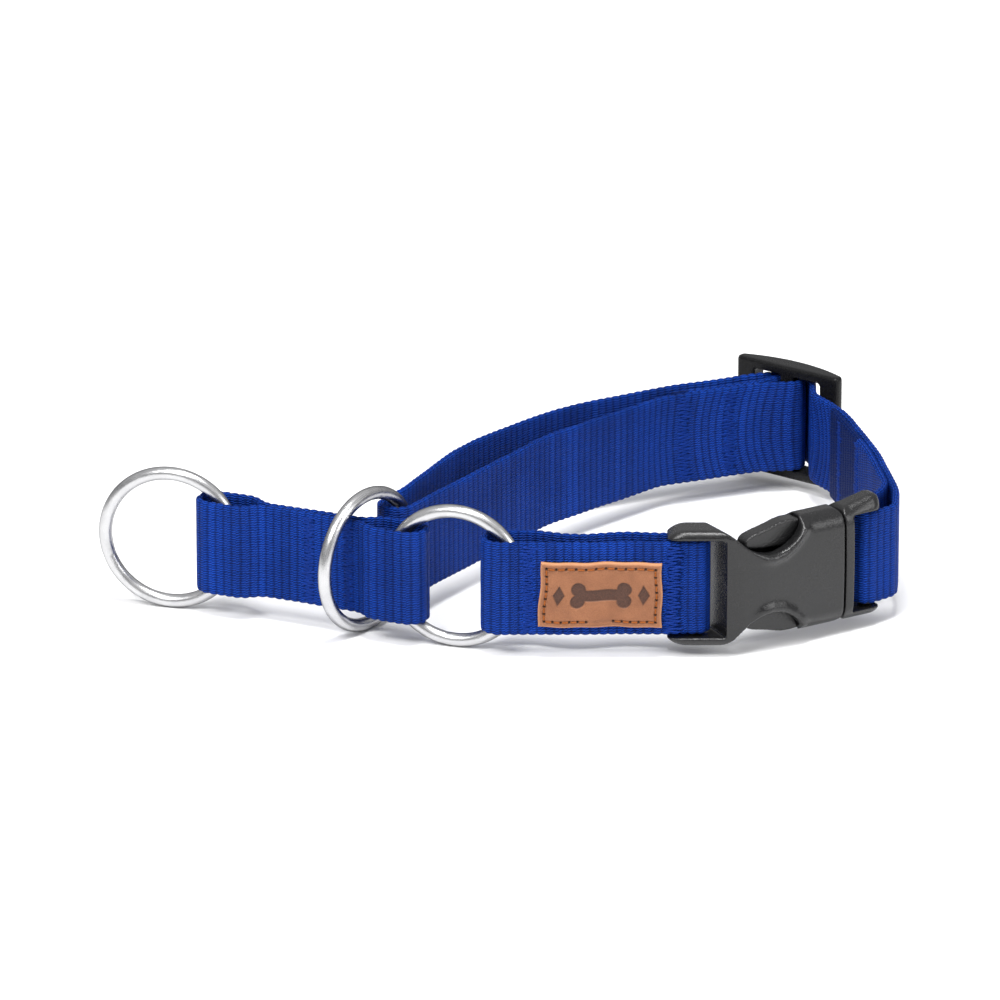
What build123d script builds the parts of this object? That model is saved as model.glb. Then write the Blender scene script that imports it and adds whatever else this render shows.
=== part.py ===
"""Martingale (slip-stop) dog collar in millimetres.

X runs along the front strap, Y away from it across the neck space and Z up the width of the webbing.
The collar stands on edge on its three rings. Every hinge of the collar is a vertical line, because
the webbing folds round its rings and bars about vertical lines.
"""

import os
from math import cos, radians, sin

from build123d import *

# Webbing
WEB_WIDTH = 24.6
WEB_THICK = 1.8
WEB_MID_Z = 18.3
HALF_PLY = WEB_THICK / 2
SEWN_OFFSET = 1.0  # half the distance between the middles of two plies sewn together

# Rings
RING_R = 17.0
WIRE_R = 1.7
RING_MID_Z = RING_R + WIRE_R
HINGE_IN = 4.0  # a ring swings about a line this far inside its wire
FOLD_IN = 4.4  # from that line to the inside of the webbing's fold
LOOP_HALF = 4.2  # half the distance between the plies of a loop that holds a ring
LOOP_STRAIGHT = 7.6  # how far the plies stay apart before they close up
LOOP_CLOSED = 12.0

# Stop ring, between the slide strap and the front strap
STOP_RING = (-11.2, 8.9)
STOP_YAW = -17.0

# Slide strap and the ring for the leash
SLIDE_DIR = 156.0
SLIDE_LENGTH = 51.0  # between the hinge lines of its two rings
LEASH_YAW = -14.0

# Guide ring, which the slide strap runs through
GUIDE_RING = (-33.2, 20.8)
GUIDE_YAW = 52.0
BACK_DIR = 57.0  # of the back strap where it leaves the guide ring

# Front strap
FRONT_BACK_Y = 9.3
FRONT_TURN_X = 8.8

# Side-release buckle
BUCKLE_MID_Z = 18.1
BUCKLE_HALF = 15.2
BUCKLE_THICK = 9.6
BUCKLE_Y = 4.6
BUCKLE_ANGLE = 32.0
BUCKLE_BEND_R = 12.0
SOCKET_LEFT_X = 39.6
SOCKET_BAR_X = 48.5
SOCKET_BODY_X = 56.4
SLOT_BACK_X = 51.4  # the slot's far wall slants to here at the socket's back
LOBE_R = 6.5
BEND_START_X = 54.5
SOCKET_LENGTH = 26.5  # of its straight part, from the bend to the mouth
WINDOW_END = 15.2
WINDOW_DEPTH = 7.4
SLOT_HALF = 12.8
CAVITY_HALF = 13.1
CAVITY_THICK = 5.0
BAR_R = 1.7
BAR_TURN = BAR_R + 0.2 + HALF_PLY  # of the webbing's middle round a bar
FLANGE_START = 26.9
FLANGE_END = 29.4
PLUG_BAR = 36.0
EAR_END = 38.6
PRONG_PIVOT = (22.8, 9.6)
PRONG_ARM_HALF = 1.7
PRONG_THICK = 4.2
SHOULDER = 14.7

# Adjuster
ADJUSTER = (75.0, 124.5)
ADJUSTER_DIR = -37.0
ADJUSTER_HALF_LENGTH = 16.0
ADJUSTER_HALF_HEIGHT = 15.4
ADJUSTER_MID_Z = WEB_MID_Z
RAIL_IN = 10.4
BAR_HALF = 1.9
FRAME_HALF = 1.4
DOME = 3.2
FOLD_R = 3.3
FOLD_OPEN = 0.8
FOLD_CLOSED = 9.0
SEWN_LENGTH = 33.0
SEWN_DIR = 23.0
WRAP_R = 6.0

# The strap between the adjuster and the plug flexes about this line, where it is two plies thick
FLEX = (94.6, 68.8)
FLEX_DIR = 103.9
FLEX_GAP = 1.3  # how far each ply's end stops short of the line
TURNED_LENGTH = 33.4  # from the line to the end that turns back and is sewn down
TACKS = (8.0, 9.5, 24.0, 25.5)  # from the flex line

# Label
LABEL_X = (9.5, 40.3)
LABEL_HEIGHT = 17.2
LABEL_MID_Z = 17.1
LABEL_THICK = 1.4

# Thread
THREAD = 0.4
STITCH = 1.9


def turned(angle):
    """The unit vector at an angle in plan."""
    return cos(radians(angle)), sin(radians(angle))


def frame_at(origin, angle):
    """A function from (along, left) in a plan frame to (x, y) of the model."""
    c, s = turned(angle)

    def place(along, left):
        return origin[0] + c * along - s * left, origin[1] + s * along + c * left

    return place


def on_circle(centre, radius, angle):
    """The point of a plan circle at an angle."""
    c, s = turned(angle)
    return centre[0] + radius * c, centre[1] + radius * s


STOP_AT = frame_at(STOP_RING, STOP_YAW)
HINGE_SPAN = RING_R - HINGE_IN
FRONT_HINGE = STOP_AT(HINGE_SPAN, 0)
SLIDE_HINGE = STOP_AT(-HINGE_SPAN, 0)
SLIDE_AT = frame_at(SLIDE_HINGE, SLIDE_DIR)
LEASH_HINGE = SLIDE_AT(SLIDE_LENGTH, 0)
LEASH_RING = frame_at(LEASH_HINGE, LEASH_YAW)(-HINGE_SPAN, 0)
GUIDE_HINGE = frame_at(GUIDE_RING, GUIDE_YAW)(HINGE_SPAN, 0)
BACK_AT = frame_at(GUIDE_HINGE, BACK_DIR)
ADJUSTER_AT = frame_at(ADJUSTER, ADJUSTER_DIR)
SEWN_AT = frame_at(ADJUSTER, SEWN_DIR)
FLEX_AT = frame_at(FLEX, FLEX_DIR)
FRONT_FACE_Y = FRONT_HINGE[1] - LOOP_HALF - HALF_PLY
BEND_C, BEND_S = turned(BUCKLE_ANGLE)
BUCKLE_ORIGIN = (
    BEND_START_X + BUCKLE_BEND_R * BEND_S,
    BUCKLE_Y + BUCKLE_BEND_R * (1 - BEND_C),
)
BUCKLE_AT = frame_at(BUCKLE_ORIGIN, BUCKLE_ANGLE)
PLUG_BAR_AT = BUCKLE_AT(PLUG_BAR, 0)
LOOP_AT = frame_at(PLUG_BAR_AT, 0)
SOCKET_BAR_AT = (SOCKET_BAR_X, BUCKLE_Y)


# Shared shapes


def upright(face, half_height, mid_z):
    """A plan face made into a solid of the given half height about mid_z."""
    return Pos(0, 0, mid_z - half_height) * extrude(face, amount=2 * half_height)


def ply(points, radii):
    """Webbing on edge along a plan route, with rounded ends."""
    route = FilletPolyline(*points, radius=radii) if radii else Line(*points)
    outline = offset(route, amount=HALF_PLY, side=Side.BOTH)
    return upright(make_face(outline), WEB_WIDTH / 2, WEB_MID_Z)


def band(points, radii):
    """A closed band of webbing on edge along a closed plan route."""
    route = Wire(FilletPolyline(*points, radius=radii, close=True).edges())
    outer = make_face(route.offset_2d(HALF_PLY))
    inner = make_face(route.offset_2d(-HALF_PLY))
    return upright(outer - inner, WEB_WIDTH / 2, WEB_MID_Z)


def ring(centre, yaw):
    """A welded wire ring that stands on edge, its plane at an angle in plan."""
    plane = Plane(
        origin=(*centre, RING_MID_Z),
        x_dir=(*turned(yaw), 0),
        z_dir=(*turned(yaw + 90), 0),
    )
    return plane * Torus(RING_R, WIRE_R)


def stitch(at, angle, z, length, upward=False):
    """One visible run of thread on a face, along the webbing or up its width."""
    size = (THREAD, THREAD, length) if upward else (length, THREAD, THREAD)
    return Pos(*at, z) * Rot(0, 0, angle) * Box(*size)


def stitch_rows(place, angle, alongs, left, rows=5):
    """A block of thread runs up the webbing's width, one column for each place along it."""
    pitch = (WEB_WIDTH - 5) / rows
    runs = []
    for along in alongs:
        for row in range(rows):
            z = WEB_MID_Z + (row - (rows - 1) / 2) * pitch
            runs.append(stitch(place(along, left), angle, z, pitch - 1.2, upward=True))
    return Compound(runs)


# Soft parts


def front_strap():
    """The doubled strap between the stop ring and the buckle's socket."""
    left = FRONT_HINGE[0] - FOLD_IN - HALF_PLY
    mid = FRONT_HINGE[1]
    right = SOCKET_BAR_X + BAR_TURN
    points = [
        (left, mid - LOOP_HALF),
        (40.0, mid - LOOP_HALF),
        (46.0, BUCKLE_Y - BAR_TURN),
        (right, BUCKLE_Y - BAR_TURN),
        (right, BUCKLE_Y + BAR_TURN),
        (44.0, BUCKLE_Y + BAR_TURN),
        (31.0, FRONT_BACK_Y - 0.8),
        (18.0, 6.0),
        (FRONT_TURN_X, FRONT_BACK_Y),
        (left, mid + LOOP_HALF),
    ]
    tight = LOOP_HALF - 0.05
    bar_turn = BAR_TURN - 0.05
    return band(points, [tight, 10, 10, bar_turn, bar_turn, 10, 20, 20, 10, tight])


def slide_strap():
    """The doubled strap between the leash ring and the stop ring."""
    near = -FOLD_IN - HALF_PLY
    far = SLIDE_LENGTH - near
    half = [
        (near, LOOP_HALF),
        (LOOP_STRAIGHT, LOOP_HALF),
        (LOOP_CLOSED, SEWN_OFFSET),
        (SLIDE_LENGTH - LOOP_CLOSED, SEWN_OFFSET),
        (SLIDE_LENGTH - LOOP_STRAIGHT, LOOP_HALF),
        (far, LOOP_HALF),
    ]
    points = [SLIDE_AT(*p) for p in half]
    points += [SLIDE_AT(along, -left) for along, left in reversed(half)]
    tight = LOOP_HALF - 0.05
    radii = [tight, 6, 6, 6, 6, tight]
    return band(points, radii + radii)


def back_strap():
    """The adjustable strap: past the adjuster, round the guide ring and back to its middle bar."""
    fold = -FOLD_IN - HALF_PLY
    points = [
        on_circle(ADJUSTER, WRAP_R, ADJUSTER_DIR + 190),
        ADJUSTER_AT(-11.2, -7.0),
        (45.0, 118.2),
        (16.5, 102.5),
        (-10.0, 73.0),
        BACK_AT(9.0, LOOP_HALF),
        BACK_AT(fold, LOOP_HALF),
        BACK_AT(fold, -LOOP_HALF),
        BACK_AT(10.0, -LOOP_HALF),
        (12.0, 80.0),
        SEWN_AT(-SEWN_LENGTH - 4, -SEWN_OFFSET),
        SEWN_AT(-FOLD_CLOSED, -SEWN_OFFSET),
        SEWN_AT(-FOLD_OPEN, -FOLD_R),
        SEWN_AT(FOLD_R, -FOLD_R),
        SEWN_AT(FOLD_R, FOLD_R),
        SEWN_AT(-FOLD_OPEN, FOLD_R),
        SEWN_AT(-FOLD_CLOSED, SEWN_OFFSET),
        SEWN_AT(-SEWN_LENGTH, SEWN_OFFSET),
    ]
    tight = LOOP_HALF - 0.05
    turn = FOLD_R - 0.4
    radii = [5, 30, 60, 90, 20, tight, tight, 20, 60, 12, 5, 2, turn, turn, 2, 5]
    return ply(points, radii)


def adjuster_wrap():
    """The hump of webbing over the adjuster's middle bar."""
    start, middle, end = (
        on_circle(ADJUSTER, WRAP_R, ADJUSTER_DIR + a) for a in (30, 90, 150)
    )
    route = ThreePointArc(start, middle, end)
    outline = offset(route, amount=HALF_PLY, side=Side.BOTH)
    return upright(make_face(outline), WEB_WIDTH / 2, WEB_MID_Z)


def bend_strap():
    """The upper half of the strap from the adjuster to the plug's bar, with its sewn-down end."""
    outer = [
        on_circle(ADJUSTER, WRAP_R, ADJUSTER_DIR - 12),
        ADJUSTER_AT(12.0, -6.2),
        (87.4, 102.0),
        FLEX_AT(FLEX_GAP, -SEWN_OFFSET),
    ]
    inner = [FLEX_AT(FLEX_GAP, SEWN_OFFSET), FLEX_AT(TURNED_LENGTH, SEWN_OFFSET)]
    return ply(outer, [10, 60]) + ply(inner, [])


def buckle_loop():
    """The lower half of that strap, round the plug's bar and back up its own inner side."""
    points = [
        FLEX_AT(-FLEX_GAP, -SEWN_OFFSET),
        (99.6, 40.0),
        LOOP_AT(7.4, 2.6),
    ]
    down = FilletPolyline(*points, on_circle(PLUG_BAR_AT, BAR_TURN, 312), radius=[40, 5])
    start, middle, end = (on_circle(PLUG_BAR_AT, BAR_TURN, a) for a in (312, 236, 160))
    turn = ThreePointArc(start, middle, end)
    up = FilletPolyline(
        end,
        LOOP_AT(0.8, 8.9),
        (97.3, 42.5),
        FLEX_AT(-FLEX_GAP, SEWN_OFFSET),
        radius=[8, 14],
    )
    outline = offset(down + turn + up, amount=HALF_PLY, side=Side.BOTH)
    return upright(make_face(outline), WEB_WIDTH / 2, WEB_MID_Z)


def leather_label():
    """The leather label on the front strap."""
    width = LABEL_X[1] - LABEL_X[0]
    blank = Box(width, LABEL_THICK, LABEL_HEIGHT)
    blank = fillet(blank.edges().filter_by(Axis.Y), 0.8)
    front = blank.faces().sort_by(Axis.Y)[0]
    blank = fillet(front.edges(), 0.4)
    return Pos(sum(LABEL_X) / 2, FRONT_FACE_Y - LABEL_THICK / 2, LABEL_MID_Z) * blank


def label_thread():
    """The running stitch round the label."""
    inset = 1.4
    y = FRONT_FACE_Y - LABEL_THICK - THREAD / 2
    left, right = LABEL_X[0] + inset, LABEL_X[1] - inset
    low = LABEL_MID_Z - LABEL_HEIGHT / 2 + inset
    high = LABEL_MID_Z + LABEL_HEIGHT / 2 - inset
    across, up = 11, 5
    runs = []
    for i in range(across):
        x = left + (right - left) * (i + 0.5) / across
        runs += [stitch((x, y), 0, z, STITCH) for z in (low, high)]
    for i in range(up):
        z = low + (high - low) * (i + 0.5) / up
        runs += [stitch((x, y), 0, z, STITCH, upward=True) for x in (left, right)]
    return Compound(runs)


# Buckle


def socket_plan():
    """The socket's outline in plan: straight, bent to follow the neck, then straight."""
    centre = (BEND_START_X, BUCKLE_Y + BUCKLE_BEND_R)
    half = BUCKLE_THICK / 2
    faces = []
    for side in (-half, half):
        radius = BUCKLE_BEND_R - side
        faces.append(
            (
                (SOCKET_LEFT_X, BUCKLE_Y + side),
                (BEND_START_X, BUCKLE_Y + side),
                on_circle(centre, radius, -90 + BUCKLE_ANGLE / 2),
                BUCKLE_AT(0, side),
                BUCKLE_AT(SOCKET_LENGTH, side),
            )
        )
    (a0, a1, a2, a3, a4), (b0, b1, b2, b3, b4) = faces
    edges = [
        Line(a0, a1),
        ThreePointArc(a1, a2, a3),
        Line(a3, a4),
        Line(a4, b4),
        Line(b4, b3),
        ThreePointArc(b3, b2, b1),
        Line(b1, b0),
        Line(b0, a0),
    ]
    return make_face(Wire(edges))


def buckle_plane():
    """The plane of the buckle's broad face: x along its axis, y up."""
    normal = turned(BUCKLE_ANGLE - 90)
    return Plane(
        origin=(*BUCKLE_ORIGIN, BUCKLE_MID_Z),
        x_dir=(BEND_C, BEND_S, 0),
        z_dir=(*normal, 0),
    )


def window(side):
    """The cutter for one waist window, where a finger presses a prong."""
    top = side * (BUCKLE_HALF + 4)
    low = side * (BUCKLE_HALF - WINDOW_DEPTH)
    outline = [
        (-9.8, top),
        (-8.6, side * (BUCKLE_HALF + 0.4)),
        (-5.6, side * (BUCKLE_HALF - 1.6)),
        (-1.6, side * (BUCKLE_HALF - 5.2)),
        (5.0, low),
        (10.6, side * (BUCKLE_HALF - 5.6)),
        (WINDOW_END - 0.8, side * (BUCKLE_HALF - 1.2)),
        (WINDOW_END, top),
    ]
    route = Line(outline[0], outline[1]) + Spline(*outline[1:7])
    route += Line(outline[6], outline[7]) + Line(outline[7], outline[0])
    return buckle_plane() * extrude(make_face(route), amount=20, both=True)


def in_buckle(u_range, w_half, v_range):
    """A box in the buckle's frame: along its axis, through its thickness and up its width."""
    u0, u1 = u_range
    v0, v1 = v_range
    box = Box(u1 - u0, v1 - v0, 2 * w_half)
    return buckle_plane() * (Pos((u0 + u1) / 2, (v0 + v1) / 2, 0) * box)


def socket_slot():
    """The cutter for the slot that the front strap goes through, with a slanted far wall."""
    slant = SOCKET_BODY_X - SLOT_BACK_X
    near_y, far_y = BUCKLE_Y - BUCKLE_THICK, BUCKLE_Y + BUCKLE_THICK
    plan = Polyline(
        (SOCKET_LEFT_X - 2, near_y),
        (SOCKET_BODY_X + slant / 2, near_y),
        (SLOT_BACK_X - slant / 2, far_y),
        (SOCKET_LEFT_X - 2, far_y),
        close=True,
    )
    return upright(make_face(plan), SLOT_HALF, BUCKLE_MID_Z)


def buckle_socket():
    """The socket: a hollow shell with a slot and bar for the front strap."""
    body = upright(socket_plan(), BUCKLE_HALF, BUCKLE_MID_Z)
    end = body.faces().sort_by(Axis.X)[0]
    body = fillet(end.edges().filter_by(Axis.Y), LOBE_R)
    body = fillet(body.faces().filter_by(Axis.Z).edges(), 2.2)
    body -= window(1) + window(-1)
    body -= socket_slot()
    body -= in_buckle((-3.2, SOCKET_LENGTH + 1), CAVITY_THICK / 2, (-CAVITY_HALF, CAVITY_HALF))
    body -= in_buckle((-3.2, WINDOW_END - 0.2), CAVITY_THICK / 2, (-20, 20))
    bar = Pos(*SOCKET_BAR_AT, BUCKLE_MID_Z) * Cylinder(BAR_R, 2 * SLOT_HALF + 1)
    return body + bar


def buckle_plug():
    """The plug's flange, ears and bar, with the guide rib between its prongs."""
    half = BUCKLE_THICK / 2
    block = in_buckle((FLANGE_START, EAR_END), half, (-BUCKLE_HALF, BUCKLE_HALF))
    far = block.faces().sort_by(Axis((0, 0, 0), (BEND_C, BEND_S, 0)))[-1]
    block = fillet(far.edges().filter_by(Axis.Z), 3.0)
    broad = block.faces().filter_by(Axis.Z)
    block = fillet(broad.edges(), 2.0)
    block -= in_buckle((FLANGE_END, EAR_END + 1), half + 1, (-SLOT_HALF, SLOT_HALF))
    bar = Pos(*PLUG_BAR_AT, BUCKLE_MID_Z) * Cylinder(BAR_R, 2 * SLOT_HALF + 1)
    rib = in_buckle((3.0, FLANGE_START + 0.5), 2.0, (-2.2, 2.2))
    body = block + bar + rib
    pivot_u, pivot_v = PRONG_PIVOT
    for mid in (-pivot_v, pivot_v):
        height = (mid - PRONG_ARM_HALF, mid + PRONG_ARM_HALF)
        body += in_buckle((pivot_u + PRONG_THICK / 2, FLANGE_START + 0.5), PRONG_THICK / 2, height)
    return body


def prong(side):
    """One sprung prong, with its root at the hinge line and its shoulder behind the socket's wall."""
    pivot_u, pivot_v = PRONG_PIVOT
    low, high = pivot_v - PRONG_ARM_HALF, pivot_v + PRONG_ARM_HALF
    top = BUCKLE_HALF - 0.6
    points = [
        (pivot_u, low),
        (SHOULDER, low),
        (3.0, low + 0.6),
        (-1.0, pivot_v - 0.4),
        (-1.4, pivot_v + 0.9),
        (5.0, top - 1.2),
        (10.0, top),
        (SHOULDER, top - 0.2),
        (SHOULDER, high),
        (pivot_u, high),
    ]
    flipped = [(u, side * v) for u, v in points]
    route = Polyline(*flipped[:4]) + Spline(*flipped[3:8]) + Polyline(*flipped[7:])
    root = ThreePointArc(flipped[-1], (pivot_u + PRONG_ARM_HALF, side * pivot_v), flipped[0])
    outline = make_face(route + root)
    return buckle_plane() * extrude(outline, amount=PRONG_THICK / 2, both=True)


# Adjuster


def strap_adjuster():
    """The three-bar adjuster: flat inside, domed outside, with two slots."""
    ends = ADJUSTER_HALF_LENGTH
    inner_left, inner_right = ADJUSTER_AT(-ends, -FRAME_HALF), ADJUSTER_AT(ends, -FRAME_HALF)
    outer_left, outer_right = ADJUSTER_AT(-ends, FRAME_HALF), ADJUSTER_AT(ends, FRAME_HALF)
    crown = ADJUSTER_AT(0, FRAME_HALF + DOME)
    plan = make_face(
        Wire(
            [
                Line(inner_left, inner_right),
                Line(inner_right, outer_right),
                ThreePointArc(outer_right, crown, outer_left),
                Line(outer_left, inner_left),
            ]
        )
    )
    body = upright(plan, ADJUSTER_HALF_HEIGHT, ADJUSTER_MID_Z)
    body = fillet(body.edges().filter_by(Axis.Z), 1.1)
    body = fillet(body.faces().filter_by(Axis.Z).edges(), 0.9)
    turn = Pos(*ADJUSTER, ADJUSTER_MID_Z) * Rot(0, 0, ADJUSTER_DIR)
    for side in (-1, 1):
        slot = Box(RAIL_IN - BAR_HALF, 20, 2 * SLOT_HALF)
        slot = fillet(slot.edges().filter_by(Axis.Y), 0.8)
        body -= turn * (Pos(side * (RAIL_IN + BAR_HALF) / 2, 0, 0) * slot)
    relief = Pos(0, FRAME_HALF + 5, 0) * Box(2 * BAR_HALF + 2, 10, 2 * SLOT_HALF)
    return body - turn * relief


# Thread that holds the folds of the webbing


def slide_thread(alongs):
    """A block of thread on the slide strap's outer side."""
    return stitch_rows(SLIDE_AT, SLIDE_DIR, alongs, SEWN_OFFSET + HALF_PLY + THREAD / 2)


def front_thread(xs):
    """A block of thread on the front of the front strap."""
    return stitch_rows(frame_at((0, FRONT_FACE_Y), 0), 0, xs, -THREAD / 2)


def adjuster_thread():
    """The two bar tacks that hold the back strap's end round the adjuster's bar."""
    left = -(SEWN_OFFSET + HALF_PLY + THREAD / 2)
    return stitch_rows(SEWN_AT, SEWN_DIR, (-32.0, -30.5, -29.0, -18.5, -17.0), left)


def buckle_end_thread():
    """The tack that holds the strap's end where it turns back from the plug's bar."""
    return stitch_rows(FLEX_AT, FLEX_DIR, TACKS, SEWN_OFFSET + HALF_PLY + THREAD / 2)


def write_all():
    """Writes every node to parts/, with the origin under the middle of the collar's box."""
    nodes = {
        "leash_ring": ring(LEASH_RING, LEASH_YAW),
        "stop_ring": ring(STOP_RING, STOP_YAW),
        "guide_ring": ring(GUIDE_RING, GUIDE_YAW),
        "slide_strap": slide_strap(),
        "front_strap": front_strap(),
        "back_strap": back_strap(),
        "adjuster_wrap": adjuster_wrap(),
        "bend_strap": bend_strap(),
        "buckle_loop": buckle_loop(),
        "leather_label": leather_label(),
        "label_thread": label_thread(),
        "buckle_socket": buckle_socket(),
        "buckle_plug": buckle_plug(),
        "upper_prong": prong(1),
        "lower_prong": prong(-1),
        "strap_adjuster": strap_adjuster(),
        "slide_stop_thread": slide_thread((17.5, 19.0, 23.0, 24.5)),
        "slide_leash_thread": slide_thread((29.0, 30.5, 34.5, 36.0)),
        "front_ring_thread": front_thread((6.4, 7.9)),
        "front_buckle_thread": front_thread((42.0, 43.5)),
        "adjuster_thread": adjuster_thread(),
        "buckle_end_thread": buckle_end_thread(),
    }
    box = Compound(list(nodes.values())).bounding_box()
    middle = box.center()
    shift = Pos(-middle.X, -middle.Y, -box.min.Z)
    os.makedirs("parts", exist_ok=True)
    for name, shape in nodes.items():
        export_step(shift * shape, f"parts/{name}.step")
    places = {
        "front hinge": FRONT_HINGE,
        "slide hinge": SLIDE_HINGE,
        "leash hinge": LEASH_HINGE,
        "guide hinge": GUIDE_HINGE,
        "plug bar": PLUG_BAR_AT,
        "adjuster bar": ADJUSTER,
        "flex line": FLEX,
        "buckle origin": BUCKLE_ORIGIN,
    }
    for name, (x, y) in places.items():
        print(name, round(x - middle.X, 4), round(y - middle.Y, 4))
    print("box", box.min, box.max, "middle", round(middle.X, 4), round(middle.Y, 4))


write_all()
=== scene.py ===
"""The visible martingale collar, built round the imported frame.

Plan routes are in the part's own millimetres; to_row() turns them into metres of the shared frame.
"""

from math import atan2, ceil, cos, pi, radians, sin, tan

import bpy
import numpy as np
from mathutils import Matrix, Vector, noise


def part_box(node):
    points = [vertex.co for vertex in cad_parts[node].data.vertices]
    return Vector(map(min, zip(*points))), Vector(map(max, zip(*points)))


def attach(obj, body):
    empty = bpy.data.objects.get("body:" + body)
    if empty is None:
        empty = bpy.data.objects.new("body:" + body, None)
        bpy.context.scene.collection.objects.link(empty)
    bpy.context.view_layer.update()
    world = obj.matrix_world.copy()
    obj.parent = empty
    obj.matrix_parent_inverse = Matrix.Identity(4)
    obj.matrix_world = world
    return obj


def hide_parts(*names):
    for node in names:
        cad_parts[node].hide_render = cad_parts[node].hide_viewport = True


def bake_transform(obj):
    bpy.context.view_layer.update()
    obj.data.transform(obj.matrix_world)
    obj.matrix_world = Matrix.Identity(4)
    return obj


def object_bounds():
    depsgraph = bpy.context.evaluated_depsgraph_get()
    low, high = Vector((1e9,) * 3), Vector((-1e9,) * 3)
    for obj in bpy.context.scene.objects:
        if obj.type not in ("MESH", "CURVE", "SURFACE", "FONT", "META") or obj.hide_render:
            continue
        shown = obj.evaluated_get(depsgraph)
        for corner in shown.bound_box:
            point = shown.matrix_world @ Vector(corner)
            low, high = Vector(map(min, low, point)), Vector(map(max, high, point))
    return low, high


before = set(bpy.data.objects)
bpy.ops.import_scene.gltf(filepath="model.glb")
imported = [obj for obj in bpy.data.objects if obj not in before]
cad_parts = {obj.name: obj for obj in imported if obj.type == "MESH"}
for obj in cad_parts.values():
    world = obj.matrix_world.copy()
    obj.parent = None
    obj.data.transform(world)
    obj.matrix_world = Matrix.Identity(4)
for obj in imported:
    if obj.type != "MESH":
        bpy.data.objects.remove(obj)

CAD_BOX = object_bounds()
MM = 0.001

# Webbing
HALF_PLY = 0.9
HALF_WIDTH = 12.3
WEB_MID_Z = 18.3
SEWN_OFFSET = 1.0
RIB_PITCH = 2.2
STEPS_PER_RIB = 10
RIB_DEPTH = 0.20
RIB_FULLNESS = 0.8  # below 1 widens the crests and narrows the valleys
SCALLOP = 0.24
YARN_PITCH = 0.64
SEAL_LENGTH = 4.4
SEAL_BLUR = 0.5
FACE_WAVE = 0.10
WIDTH_WAVE = 0.22
RIB_LEAN = 0.22
END_PINCH = 0.30
END_STEPS = 2.0
FACE_STEPS = 22
EDGE_STEPS = 6
FILLET_STEP = 0.12  # radians
SAME_POINT = 1e-6

# Rings and the folds that hold them
WIRE_R = 1.7
RING_STEPS = 220
WIRE_STEPS = 32
WELD_REACH = 0.7
WELD_NECK = 0.035  # of the wire's radius
WELD_SWELL = 0.02
RING_R = 17.0
HINGE_IN = 4.0
FOLD_IN = 4.4
LOOP_HALF = 4.2
LOOP_STRAIGHT = 7.6
LOOP_CLOSED = 12.0
TIGHT = LOOP_HALF - 0.05  # corner radius of a fold, just under a half circle so that two fit
STOP_RING = (-11.2, 8.9)
STOP_YAW = -17.0
SLIDE_DIR = 156.0
SLIDE_LENGTH = 51.0
LEASH_YAW = -14.0
GUIDE_RING = (-33.2, 20.8)
GUIDE_YAW = 52.0
BACK_DIR = 57.0

# Buckle and adjuster
SOCKET_BAR = (48.5, 4.6)
BAR_TURN = 2.8  # of the webbing's middle round a bar
BUCKLE_DIR = 32.0
BUCKLE_ORIGIN = (60.859, 6.423)
BUCKLE_HALF = 15.2
BUCKLE_HALF_THICK = 4.8
BUCKLE_MID_Z = 18.1
PLUG_BAR = (91.389, 25.501)
LOOP_START = 312  # degrees round the plug's bar, where the webbing meets it
LOOP_END = 160
ADJUSTER = (75.0, 124.5)
ADJUSTER_DIR = -37.0
WRAP_R = 6.0  # of the hump of webbing over the adjuster
HUMP_LEFT = 150  # degrees round the adjuster's bar, from the adjuster's right end
HUMP_TOP = 90
HUMP_RIGHT = 30
SEWN_DIR = 23.0
FOLD_R = 3.3
FLEX = (94.6, 68.8)
FLEX_DIR = 103.9
FLEX_REACH = 5.0  # either side of the flex line
MOULD_VOXEL = 0.28
EAR_START = 29.0
EAR_LENGTH = 7.0
EAR_RISE = 1.6
SLOT_HALF = 12.8
SMOOTHING = 0.5
CROWN_START = -2.0
CROWN_EASE = 6.0
ROLL = 4.6
ROLL_IN = 0.50
BEAD_OUT = 1.3  # from a window's edge to the middle of the bead along it
BEAD_WIDTH = 1.3
WINDOW_DEPTHS = (  # along the buckle, and down from its edge to a waist window's edge
    (-7.6, 0.2),
    (-5.0, 2.2),
    (-1.2, 5.4),
    (1.8, 7.0),
    (5.0, 7.5),
    (8.2, 6.9),
    (11.2, 5.0),
    (14.6, 1.4),
)
TURNED_LENGTH = 33.4
# How far in from the turned-back end the webbing's colour is darkened, in mm
TURNED_DARK_REACH = 25.0

# Sewing
TACK_WIDTH = 4.6
TACK_PITCH = 0.96
TACK_STEPS = 6
TACK_R = 0.23
STITCH_R = 0.19
THREAD_END = 0.6  # of its thickness, where a thread dives in

# Camera and floor, in metres and degrees
CAMERA_TILT = 20.0
VIEW_WIDTH = 0.2543
AIM_SHIFT = (0.0003, 0.0004, -0.0012)
FLOOR_HALF = 6.0

# Colours, linear
BLUE_CREST = (0.0070, 0.056, 0.40, 1)
# The next colour is painted shade in the webbing's rib valleys; it is also the blue thread's darker tone
# and the colour the cut ends darken to
BLUE_DARK_AND_VALLEY_SHADE = (0.0010, 0.008, 0.058, 1)
BLUE_THREAD = (0.0050, 0.040, 0.30, 1)
RUST_LIGHT = (0.40, 0.115, 0.022, 1)
RUST_DARK = (0.15, 0.038, 0.010, 1)


# Plan geometry


def turned(angle):
    """The unit vector at an angle in plan."""
    return cos(radians(angle)), sin(radians(angle))


def frame_at(origin, angle):
    """A function from (along, left) in a plan frame to plan coordinates."""
    c, s = turned(angle)

    def place(along, left):
        return origin[0] + c * along - s * left, origin[1] + s * along + c * left

    return place


def on_circle(centre, radius, angle):
    """The point of a plan circle at an angle."""
    c, s = turned(angle)
    return centre[0] + radius * c, centre[1] + radius * s


def arc(centre, radius, start, end, steps=24):
    """Points on a plan circle from one angle to another."""
    return [on_circle(centre, radius, start + (end - start) * k / steps) for k in range(steps + 1)]


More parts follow.
